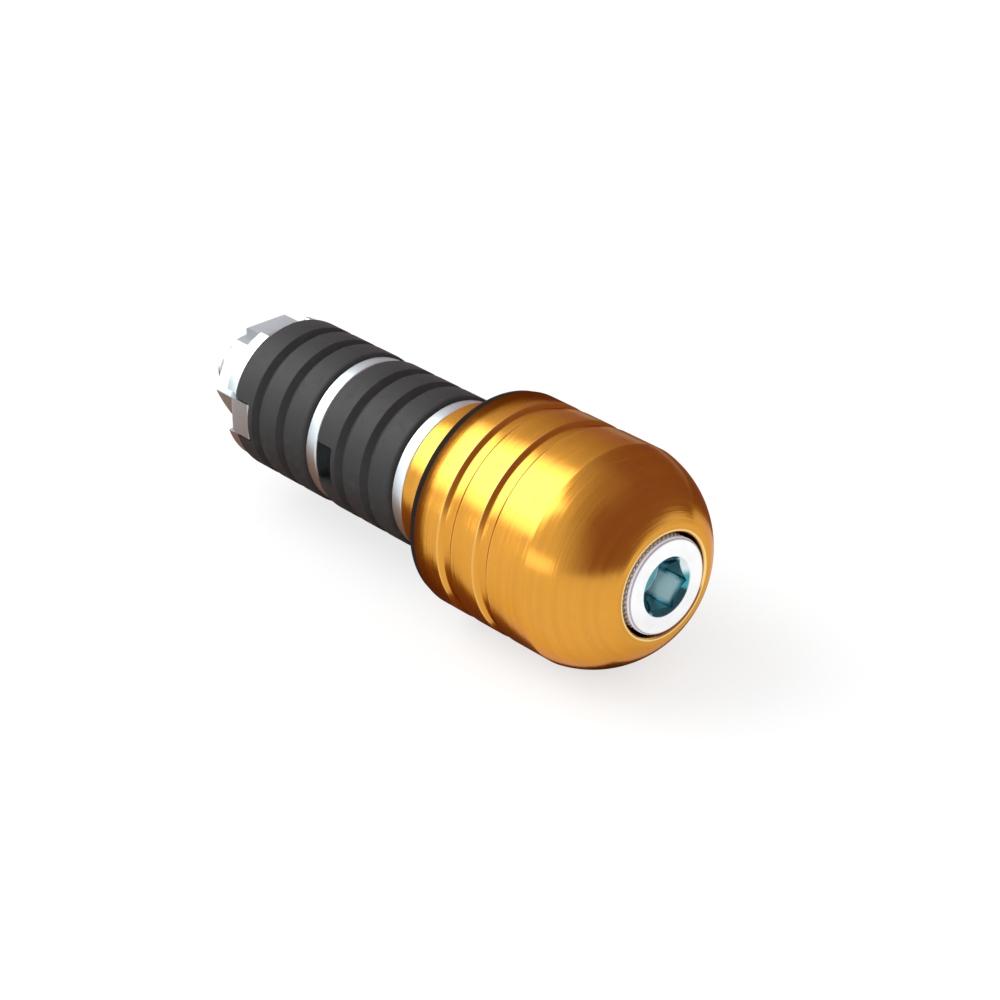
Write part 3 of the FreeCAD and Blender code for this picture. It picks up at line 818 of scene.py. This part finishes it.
def thread_bar(sizes, swell=0.0):
    """A threaded bar that outruns the thread at both ends: one turn of its outline, repeated up the axis."""
    mm = Millimetres(sizes)
    pitch = mm.pitch
    root = mm.root + swell
    crest = mm.crest + swell
    flank = (mm.crest - mm.root) * math.tan(THREAD_ANGLE)
    flat = pitch / 8
    valley = (pitch - flat - 2 * flank) / 2
    start = span("clamp_screw")[0] - 2 * pitch
    turns = round(mm.thread_length / pitch) + 3
    piece = draw_section([
        (start, root),
        (start + valley, root),
        (start + valley + flank, crest),
        (start + valley + flank + flat, crest),
        (start + valley + flank * 2 + flat, root),
        (start + pitch, root),
    ], closed=False)
    shut()
    winding = piece.modifiers.new("Thread", "SCREW")
    winding.axis = "X"
    winding.screw_offset = pitch * MM
    winding.iterations = turns
    winding.steps = winding.render_steps = 48
    bpy.ops.object.modifier_apply(modifier=winding.name)
    edit(piece, "EDGE")
    weld()
    middle = (start + pitch * turns / 2) * MM
    for side in (-1, 1):
        pick_rim(piece, lambda x: (x - middle) * side > 0)
        bpy.ops.mesh.extrude_edges_move()
        bpy.ops.mesh.merge(type="CENTER")
    return close_mesh()


def pick_rim(piece, test):
    """Selects the open edges whose place along the axis passes the test."""
    edit(piece, "EDGE")
    bpy.ops.mesh.select_non_manifold(extend=False)
    shut()
    mesh = piece.data
    for edge in mesh.edges:
        middle = sum(mesh.vertices[index].co.x for index in edge.vertices) / 2
        edge.select = edge.select and test(middle)
    kept = {index for edge in mesh.edges if edge.select for index in edge.vertices}
    for vertex in mesh.vertices:
        vertex.select = vertex.index in kept
    bpy.ops.object.mode_set(mode="EDIT")


class WEIGHT_OT_screw(bpy.types.Operator):
    """Makes the socket head cap screw: knurled head, hexagon socket, plain shank and rolled thread."""

    bl_idname = "bar_end.make_screw"
    bl_label = "Make the clamp screw"

    def execute(self, context):
        sizes = context.scene.screw_sizes
        mm = Millimetres(sizes)
        rear, front, head = span("clamp_screw")
        under = span("lock_washer")[1]
        rows = knurl_rows(sizes, under, front)
        thread_end = rear + mm.thread_length

        # The shank tapers to a core that ends inside the thread, and the thread goes on from there
        core_end = thread_end - 2.0
        piece = turned(rounded([
            (core_end, 0.0),
            (core_end, mm.root - 0.4),
            (thread_end - 1.2, mm.root - 0.25),
            (thread_end, mm.shank),
            (under, mm.shank),
            (under, head, 0.12),
            *[(row, head) for row in rows],
            (front, head, mm.head_round),
            (front, 0.0),
        ]), sizes.knurl_points * 2)
        knurl(piece, rows, sizes)
        clear = mm.crest + 0.4
        blank_end = thread_end - 0.15
        blank = turned([
            (rear, 0.0),
            (rear, mm.crest - mm.tip_chamfer),
            (rear + mm.tip_chamfer + 0.4, clear),
            (blank_end, clear),
            (blank_end, 0.0),
        ], 96)
        thread = thread_bar(sizes)
        carve(thread, blank, "INTERSECT")
        carve(piece, thread, "UNION")
        cut_socket(piece, sizes, front)
        dress(piece, "cap_screw", screw_finish(sizes), "clamp_screw")
        return {"FINISHED"}


def knurl_rows(sizes, under, front):
    """Stations of the knurl's rows of points along the screw's head."""
    first = under + 0.4
    last = front - 0.37
    return [first + (last - first) * index / (sizes.knurl_rows - 1) for index in range(sizes.knurl_rows)]


def knurl(piece, rows, sizes):
    """Presses the hollows of a diamond knurl into the head's side."""
    radius = span("clamp_screw")[2]
    facets = sizes.knurl_points * 2
    stations = [row * MM for row in rows]

    def hollow(place):
        if math.hypot(place.y, place.z) < (radius - 0.01) * MM:
            return False
        row = next((index for index, x in enumerate(stations) if abs(x - place.x) < 5 * WELD), None)
        step = round(math.atan2(place.z, place.y) / FULL_TURN * facets)
        return row is not None and (row + step) % 2 == 1

    def on_side(place):
        along = stations[0] - WELD < place.x < stations[-1] + WELD
        return along and math.hypot(place.y, place.z) > (radius - 0.5) * MM

    pick(piece, "VERT", hollow)
    factor = 1 - sizes.knurl_depth / (radius * MM)
    bpy.ops.transform.resize(value=(1, factor, factor), center_override=(0, 0, 0))
    pick(piece, "FACE", on_side)
    bpy.ops.mesh.quads_convert_to_tris(quad_method="SHORTEST_DIAGONAL")
    shut()


def cut_socket(piece, sizes, front):
    """The hexagon socket, its drilled floor and the countersink at its mouth."""
    mm = Millimetres(sizes)
    mouth = mm.socket_mouth
    floor = front - mm.socket_depth
    carve(piece, prism(mm.socket_flats, floor, front + OVERCUT, SOCKET_TURN), "DIFFERENCE")
    slope = 1 / math.tan(COUNTERSINK_ANGLE)
    countersink = turned([
        (front - mouth * slope, 0.0),
        (front + OVERCUT, 0.0),
        (front + OVERCUT, mouth + OVERCUT / slope),
    ], 144)
    carve(piece, countersink, "DIFFERENCE")
    drill = mm.socket_flats / 2 - 0.06
    drilled = turned([
        (floor - drill / math.tan(DRILL_ANGLE), 0.0),
        (floor + 0.3, 0.0),
        (floor + 0.3, drill),
        (floor, drill),
    ], 72)
    carve(piece, drilled, "DIFFERENCE")


def washer_section(start, end, inner, outer, rounds):
    """Half section of a washer; its rounds start at the rear edge of the bore and go on to the rear rim."""
    places = [(start, inner), (start, outer), (end, outer), (end, inner)]
    return rounded([(*place, size) for place, size in zip(places, rounds)])


class WEIGHT_OT_washers(bpy.types.Operator):
    """Punches the two plate washers, and cuts the nylon seat washer and its broken rim."""

    bl_idname = "bar_end.punch_washers"
    bl_label = "Punch the washers"

    def execute(self, context):
        sizes = context.scene.fixing_sizes
        mm = Millimetres(sizes)
        plate = (mm.washer_bore, (0.06, 0.06, mm.die_roll, 0.06), hardware_finish(sizes), "zinc_steel")
        seat = (mm.seat_bore, (0.06, 0.12, 0.12, 0.06), nylon_finish(sizes), "black_nylon")
        for node, name, kind in (
            ("front_washer", "front_plate_washer", plate),
            ("centre_washer", "centre_plate_washer", plate),
            ("seat_washer", "nylon_seat_washer", seat),
        ):
            bore, rounds, finish, slot = kind
            start, end, outer = span(node)
            piece = turned(washer_section(start, end, bore, outer, rounds), sizes.facets)
            dress(piece, name, finish, node)
        return {"FINISHED"}


class WEIGHT_OT_bushes(bpy.types.Operator):
    """Moulds the two rubber bushes, with their grooves, mould lines and slots for the tab washer's lugs."""

    bl_idname = "bar_end.mould_bushes"
    bl_label = "Mould the bushes"

    def execute(self, context):
        sizes = context.scene.fixing_sizes
        rubber = rubber_finish(sizes)
        for node, name in (("front_bush", "front_rubber_bush"), ("rear_bush", "rear_rubber_bush")):
            piece = turned(bush_section(sizes, node), sizes.facets)
            raise_mould_line(piece, sizes, node)
            cut_slots(piece, sizes, node)
            dress(piece, name, rubber, node)
        return {"FINISHED"}


def bush_section(sizes, node):
    """Half section of a bush: rounded ends and two grooves."""
    mm = Millimetres(sizes)
    start, end, radius = span(node)
    pitch = (end - start) / 3
    corners = [(start, mm.bush_bore, 0.15), (start, radius, mm.bush_round)]
    for place in (start + pitch, start + 2 * pitch):
        corners += [
            (place - mm.bush_groove, radius, 0.18),
            (place, radius - mm.bush_groove, 0.2),
            (place + mm.bush_groove, radius, 0.18),
        ]
    corners += [(end, radius, mm.bush_round), (end, mm.bush_bore, 0.15)]
    return rounded(corners, 6)


def raise_mould_line(piece, sizes, node):
    """A fine raised line along each side, where the halves of the mould met."""
    radius = span(node)[2]
    limit = (radius - 1.2) * MM
    pick(piece, "VERT", lambda place: math.hypot(place.y, place.z) > limit and abs(place.y) < 2 * WELD)
    factor = 1 + sizes.mould_line / (radius * MM)
    bpy.ops.transform.resize(value=(1, 1, factor), center_override=(0, 0, 0))
    shut()


def box_tool(low, high, corner):
    """A block between two corners, in millimetres, with all its edges rounded."""
    deselect()
    middle = [(a + b) / 2 * MM for a, b in zip(low, high)]
    bpy.ops.mesh.primitive_cube_add(size=1, location=middle)
    piece = bpy.context.object
    piece.scale = [(b - a) * MM for a, b in zip(low, high)]
    bpy.ops.object.transform_apply(location=True, rotation=True, scale=True)
    edit(piece, "EDGE")
    bpy.ops.mesh.select_all(action="SELECT")
    bpy.ops.mesh.bevel(offset=corner * MM, segments=3, affect="EDGES")
    return shut()


def cut_openings(piece, along, across, half, corner, upright=False):
    """Two openings, at the sides or at top and bottom.

    They reach from and to the two numbers of along and of across, and half is half their width.
    """
    for side in (-1, 1):
        near, far = sorted((side * across[0], side * across[1]))
        low = (along[0], -half, near) if upright else (along[0], near, -half)
        high = (along[1], half, far) if upright else (along[1], far, half)
        carve(piece, box_tool(low, high, corner), "DIFFERENCE")


def cut_slots(piece, sizes, node):
    """Two slots in the inner end, for the lugs of the tab washer."""
    mm = Millimetres(sizes)
    start = span(node)[0]
    along = (start - OVERCUT, start + mm.slot_depth)
    across = (mm.slot_floor, span(node)[2] + OVERCUT)
    cut_openings(piece, along, across, mm.slot_width / 2, 0.2)


def strip(points, width, upright=False):
    """A bent strip: its outline, drawn like a section, filled and pulled out to its width."""
    draw_section(points)
    bpy.ops.mesh.edge_face_add()
    bpy.ops.mesh.extrude_region_move(TRANSFORM_OT_translate={"value": (0, 0, width * MM)})
    bpy.ops.mesh.select_all(action="SELECT")
    bpy.ops.transform.translate(value=(0, 0, -width / 2 * MM))
    bpy.ops.mesh.normals_make_consistent(inside=False)
    piece = shut()
    if upright:
        move_points(piece, lambda at: (at.x, -at.z, at.y))
    return piece


def opposite(piece):
    """A copy of a piece on the other side of the axis."""
    other = piece.copy()
    other.data = piece.data.copy()
    bpy.context.scene.collection.objects.link(other)
    move_points(other, lambda at: (at.x, -at.y, -at.z))
    return other


class WEIGHT_OT_tab_washer(bpy.types.Operator):
    """Stamps the tab washer: a notched disc with two lugs bent forward and two tabs bent back."""

    bl_idname = "bar_end.stamp_tab_washer"
    bl_label = "Stamp the tab washer"

    def execute(self, context):
        sizes = context.scene.fixing_sizes
        mm = Millimetres(sizes)
        back, front = span("tab_washer")[:2]
        disc_back = span("hex_nut")[1]
        disc_front = span("rear_bush")[0]
        rim = span("centre_washer")[2]
        thick = disc_front - disc_back
        bend = mm.bend_radius
        section = washer_section(disc_back, disc_front, mm.washer_bore, rim, (0.06, 0.06, 0.1, 0.06))
        piece = turned(section, sizes.facets)
        lug_inner = rim - thick
        lug_root = lug_inner - bend
        tab_root = mm.nut_flats / 2 + 0.05
        tab_inner = tab_root + bend
        tab_outer = tab_inner + thick
        through = (disc_back - OVERCUT, disc_front + OVERCUT)
        for root, width, upright in ((lug_root, mm.lug_width, False), (tab_root, mm.tab_width, True)):
            half = width / 2 + mm.bend_relief
            cut_openings(piece, through, (root, rim + OVERCUT), half, 0.25, upright)
        lug = strip(rounded([
            (disc_back, lug_root - 0.6),
            (disc_back, rim, bend + thick),
            (front, rim, 0.3),
            (front, lug_inner, 0.12),
            (disc_front, lug_inner, bend),
            (disc_front, lug_root - 0.6),
        ], 8), mm.lug_width)
        tab = strip(rounded([
            (disc_front, tab_root - 0.6),
            (disc_front, tab_outer, bend + thick),
            (back, tab_outer, 0.3),
            (back, tab_inner, 0.12),
            (disc_back, tab_inner, bend),
            (disc_back, tab_root - 0.6),
        ], 8), mm.tab_width, upright=True)
        for shape in (lug, tab):
            other = opposite(shape)
            carve(piece, shape, "UNION")
            carve(piece, other, "UNION")
        dress(piece, "stamped_tab_washer", hardware_finish(sizes), "tab_washer")
        return {"FINISHED"}


class WEIGHT_OT_nut(bpy.types.Operator):
    """Makes the hexagon nut, chamfered on both faces and tapped."""

    bl_idname = "bar_end.make_nut"
    bl_label = "Make the nut"

    def execute(self, context):
        sizes = context.scene.fixing_sizes
        mm = Millimetres(sizes)
        screw = context.scene.screw_sizes
        crest = screw.crest / MM
        root = screw.root / MM
        start, end = span("hex_nut")[:2]
        piece = prism(mm.nut_flats, start, end, corner=0.12)
        outside = mm.nut_flats / math.sqrt(3) + OVERCUT
        rise = (outside - mm.nut_face) * math.tan(NUT_ANGLE)
        blank = turned([
            (start, 0.0),
            (start, mm.nut_face),
            (start + rise, outside),
            (end - rise, outside),
            (end, mm.nut_face),
            (end, 0.0),
        ], 144)
        carve(piece, blank, "INTERSECT")
        carve(piece, thread_bar(screw, 0.04), "DIFFERENCE")
        mouth = crest + mm.nut_chamfer
        chamfers = turned([
            (start - OVERCUT, 0.0),
            (start - OVERCUT, mouth + OVERCUT),
            (start + mouth - root, root),
            (end - mouth + root, root),
            (end + OVERCUT, mouth + OVERCUT),
            (end + OVERCUT, 0.0),
        ], 144)
        carve(piece, chamfers, "DIFFERENCE")
        dress(piece, "tapped_nut", hardware_finish(sizes), "hex_nut")
        return {"FINISHED"}


class WEIGHT_OT_lock_washer(bpy.types.Operator):
    """Winds the split spring washer and cuts its slanted slit."""

    bl_idname = "bar_end.wind_lock_washer"
    bl_label = "Wind the lock washer"

    def execute(self, context):
        sizes = context.scene.fixing_sizes
        start, end, outer = span("lock_washer")
        section = washer_section(start, end, LOCK_WASHER_BORE, outer, (0.15, 0.15, 0.15, 0.15))
        piece = turned(section, sizes.facets)
        slit = strip([
            (start - OVERCUT, 0.0),
            (end + OVERCUT, 0.0),
            (end + OVERCUT, outer + OVERCUT),
            (start - OVERCUT, outer + OVERCUT),
        ], SLIT_WIDTH)

        def leaning(at):
            share_along = (at.x / MM - (start + end) / 2) / (end - start)
            return at.x, SLIT_LEAN * share_along * MM - at.z, at.y

        move_points(slit, leaning)
        carve(piece, slit, "DIFFERENCE")
        dress(piece, "split_spring_washer", steel_finish(sizes), "lock_washer")
        return {"FINISHED"}


def direction(around, height=0.0):
    """A unit vector that points around degrees from +X towards +Y, and height degrees up."""
    around = math.radians(around)
    height = math.radians(height)
    level = math.cos(height)
    return Vector((math.cos(around) * level, math.sin(around) * level, math.sin(height)))


def floor_finish(tone):
    """Matt paper, with a faint tooth, white where it is seen or mirrored."""
    finish = Finish("studio_floor", Specular_IOR_Level=0.1)
    at, x, y = finish.place()[:3]
    tooth = finish.noise(at, 0.4, detail=3.0)
    far = finish.step(finish.sum("SQRT", x * x + y * y), 120.0, 500.0)
    finish.set(Base_Color=finish.blend(tooth, [part * 0.985 for part in tone], tone), Roughness=0.9)
    glow = finish.node("Emission", {"Color": (1.0, 1.0, 1.0), "Strength": 1.0})
    finish.mix(finish.seen_or_mirrored() * (far * 0.3 + 0.7), Wire(finish, finish.surface.outputs[0]), glow)
    return finish.material


def mat_finish(tone):
    """Brown cloth near the weight, which turns to pale grey behind the piece."""
    finish = Finish("studio_mat", Roughness=1.0)
    behind = finish.step(finish.place()[1], -38.0, -80.0)
    finish.set(Base_Color=finish.blend(behind, tone, (0.42, 0.42, 0.43)))
    return finish.material


def shade_finish(tone):
    """Dark cloth that thins out towards the bright side of the room, and a little overhead."""
    finish = Finish("studio_shade", Roughness=1.0, Specular_IOR_Level=0.0)
    way = finish.vector("NORMALIZE", finish.place()[0])
    rearwards = finish.step(finish.node("SeparateXYZ", {0: way}, 0), -0.70, -0.90)
    finish.set(Base_Color=finish.blend(rearwards, tone, (0.22, 0.22, 0.225)))
    height = finish.node("SeparateXYZ", {0: way}, 2)
    ahead = finish.step(finish.towards(way, 35), 0.72, 0.94)
    far_side = finish.step(finish.towards(way, 110), 0.5, 0.85)
    hem = ahead * 0.38 + 0.04 - far_side * 0.12
    cover = finish.step(finish.towards(way, -140), 0.62, -0.25) * finish.step(height - hem, -0.05, 0.05)
    cover = cover * (1 - finish.step(height, 0.8, 1.0) * 0.2)
    behind = finish.step(finish.towards(way, 178), 0.80, 0.90) * finish.step(height, 0.40, 0.26)
    cover = finish.sum("MAXIMUM", cover, behind)
    finish.mix(cover, finish.node("BsdfTransparent", {}), Wire(finish, finish.surface.outputs[0]))
    return finish.material


class WEIGHT_OT_studio(bpy.types.Operator):
    """Sets up the pale floor, the softbox, the dark shade beside the piece and the camera."""

    bl_idname = "bar_end.set_studio"
    bl_label = "Set the studio"

    def execute(self, context):
        sizes = context.scene.studio_sizes
        deselect()
        floor_level = -span("weight_body")[2] * MM
        place = (0, 0, floor_level)
        bpy.ops.mesh.primitive_grid_add(x_subdivisions=8, y_subdivisions=8, size=8, location=place)
        floor = context.object
        floor.name = "floor"
        bpy.ops.object.transform_apply(location=True, rotation=True, scale=True)
        floor.data.materials.append(floor_finish(sizes.floor))
        hang_shade(sizes.shade)
        lay_mat(floor_level, sizes.mat)
        hang_collar(sizes.mat)
        add_lamp(context, "softbox", direction(-146, 42) * 0.85, (0.87, 0.80), sizes.softbox)
        add_lamp(context, "softbox_core", direction(-146, 42) * 0.84, (0.56, 0.50), sizes.core)
        add_lamp(context, "fill", direction(-103, 6) * 0.9, (0.8, 0.2), sizes.fill)
        light_room(context, sizes.surroundings)
        context.scene.view_settings.view_transform = "Standard"
        aim_camera(context, sizes)
        return {"FINISHED"}


def light_room(context, strength):
    """White all round where it is seen or mirrored, and a little dimmer where it only lights."""
    world = bpy.data.worlds.new("room")
    world.use_nodes = True
    room = Network(world.node_tree)
    brightness = room.seen_or_mirrored() * (1.0 - strength) + strength
    air = room.node("Background", {"Color": (1.0, 1.0, 1.0), "Strength": brightness})
    room.node("OutputWorld", {"Surface": air})
    context.scene.world = world


def finish_card(card, name, finish):
    """Names a card and gives it its finish: it is seen in reflections alone."""
    card.name = name
    card.data.materials.append(finish)
    card.visible_camera = False
    card.visible_diffuse = False
    card.visible_shadow = False


def hang_shade(tone):
    """A dark dome that only reflections see: metal shows its shape against it."""
    reach = 1300.0
    rib = arc((0.0, 0.0), reach, math.radians(-0.4), math.radians(89.5), 24)
    shade = draw_section(rib, closed=False)
    shut()
    move_points(shade, lambda at: (at.x, 0, at.y))
    edit(shade)
    bpy.ops.mesh.select_all(action="SELECT")
    bpy.ops.mesh.spin(steps=72, angle=FULL_TURN, center=(0, 0, 0), axis=(0, 0, 1))
    weld()
    shut()
    finish_card(shade, "shade", shade_finish(tone))


def lay_mat(floor_level, tone):
    """A dark mat on the floor behind the piece, which darkens the metal's far edges."""
    mat = draw_section([(21, -3), (21, 10), (10, 28), (165, 1290), (-700, 1090), (-700, -430)])
    bpy.ops.mesh.edge_face_add()
    bpy.ops.transform.translate(value=(0, 0, floor_level + 0.05 * MM))
    shut()
    finish_card(mat, "mat", mat_finish(tone))


def hang_collar(tone):
    """A narrow dark ring behind the seat, which darkens the metal next to it."""
    collar = draw_section([(-0.6, 11.7), (-0.6, 14.5)], closed=False)
    bpy.ops.mesh.spin(steps=64, angle=FULL_TURN, center=(0, 0, 0), axis=(1, 0, 0))
    weld()
    shut()
    finish_card(collar, "collar", Finish("studio_collar", Base_Color=tone, Roughness=1.0).material)


def add_lamp(context, name, place, size, brightness):
    """A soft lamp that faces the piece, as bright as the brightness says, where 1 is white."""
    lamp = bpy.data.lights.new(name, "AREA")
    lamp.shape = "RECTANGLE"
    lamp.size, lamp.size_y = size
    lamp.energy = brightness * math.pi * lamp.size * lamp.size_y
    stand = bpy.data.objects.new(name, lamp)
    context.scene.collection.objects.link(stand)
    stand.location = place
    stand.rotation_euler = place.to_track_quat("Z", "Y").to_euler()
    stand.visible_camera = False


def aim_camera(context, sizes):
    """The viewpoint, fitted to the circles of the nose."""
    camera = bpy.data.cameras.new("camera")
    camera.lens = sizes.lens
    camera.sensor_width = 36.0
    camera.clip_start = 0.01
    stand = bpy.data.objects.new("camera", camera)
    context.scene.collection.objects.link(stand)
    back = direction(-42.277, 28.327)
    stand.location = (0.19486, -0.17654, 0.14144)
    stand.rotation_euler = back.to_track_quat("Z", "Y").to_euler()
    context.scene.camera = stand


class WEIGHT_PT_panel(bpy.types.Panel):
    """Lists the pieces in the order in which they are made."""

    bl_idname = "WEIGHT_PT_panel"
    bl_label = "Bar End Weight"
    bl_space_type = "VIEW_3D"
    bl_region_type = "UI"
    bl_category = "Bar End"

    def draw(self, context):
        for operator in OPERATORS:
            self.layout.operator(operator.bl_idname)
        for name in GROUPS:
            box = self.layout.box()
            sizes = getattr(context.scene, name)
            for key in sizes.bl_rna.properties.keys():
                if key not in {"rna_type", "name"}:
                    box.prop(sizes, key)


GROUPS = {
    "weight_sizes": WeightSizes,
    "screw_sizes": ScrewSizes,
    "fixing_sizes": FixingSizes,
    "studio_sizes": StudioSizes,
}
OPERATORS = (
    WEIGHT_OT_turn,
    WEIGHT_OT_screw,
    WEIGHT_OT_washers,
    WEIGHT_OT_bushes,
    WEIGHT_OT_tab_washer,
    WEIGHT_OT_nut,
    WEIGHT_OT_lock_washer,
    WEIGHT_OT_studio,
)


def register():
    for name, group in GROUPS.items():
        bpy.utils.register_class(group)
        setattr(bpy.types.Scene, name, PointerProperty(type=group))
    for item in (*OPERATORS, WEIGHT_PT_panel):
        bpy.utils.register_class(item)


def unregister():
    for item in reversed((*OPERATORS, WEIGHT_PT_panel)):
        bpy.utils.unregister_class(item)
    for name, group in reversed(GROUPS.items()):
        delattr(bpy.types.Scene, name)
        bpy.utils.unregister_class(group)


def main():
    register()
    bpy.ops.bar_end.turn_weight()
    bpy.ops.bar_end.make_screw()
    bpy.ops.bar_end.punch_washers()
    bpy.ops.bar_end.mould_bushes()
    bpy.ops.bar_end.stamp_tab_washer()
    bpy.ops.bar_end.make_nut()
    bpy.ops.bar_end.wind_lock_washer()
    bpy.ops.bar_end.set_studio()


if __name__ == "__main__":
    main()
